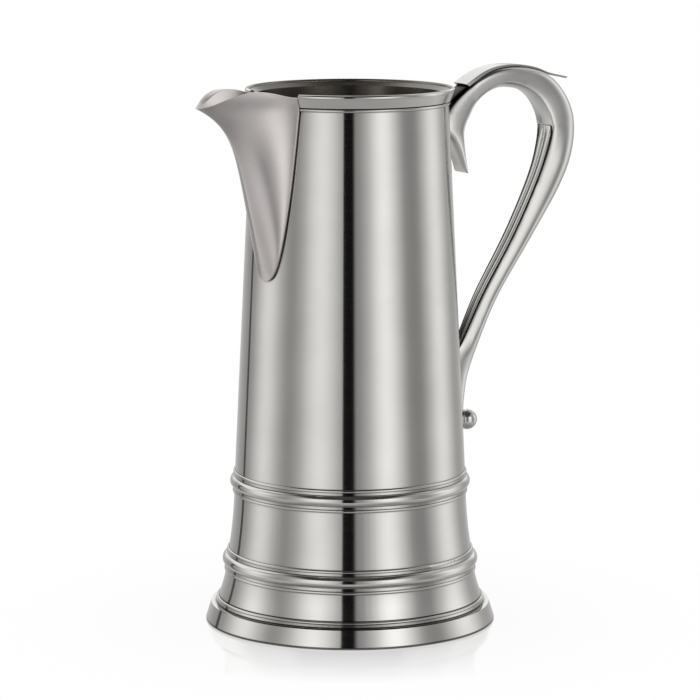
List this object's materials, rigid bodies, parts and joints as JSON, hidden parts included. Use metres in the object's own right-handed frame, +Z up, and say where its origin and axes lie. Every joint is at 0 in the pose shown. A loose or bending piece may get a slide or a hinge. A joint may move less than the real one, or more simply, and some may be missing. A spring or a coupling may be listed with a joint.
{
  "type": "flagon",
  "caption": "Tall tapering pewter flagon with a lipped beak spout, moulded bands, a spread foot and a scroll handle ending in a ball, for serving drinks.",
  "frame": {"origin": "centre of the flat ring that the flagon stands on", "axes": "+Z up along the axis of the body, spout towards -X, handle towards +X"},
  "size_m": [0.2115, 0.136, 0.2574],
  "materials": {
    "polished_pewter": "pewter turned and polished to a soft mirror",
    "satin_pewter": "pewter with a fine satin polish"
  },
  "bodies": {
    "root": {"upper_drum": "polished_pewter", "lower_drum": "polished_pewter", "foot_skirt": "polished_pewter", "foot_ring": "polished_pewter", "floor_disc": "satin_pewter", "rim_band": "polished_pewter", "rim_bead": "polished_pewter", "upper_moulding": "polished_pewter", "lower_moulding": "polished_pewter", "spout": "satin_pewter", "handle_scroll": "satin_pewter", "handle_strap": "polished_pewter", "handle_leaf": "satin_pewter", "ball_terminal": "polished_pewter"}
  },
  "joints": []
}
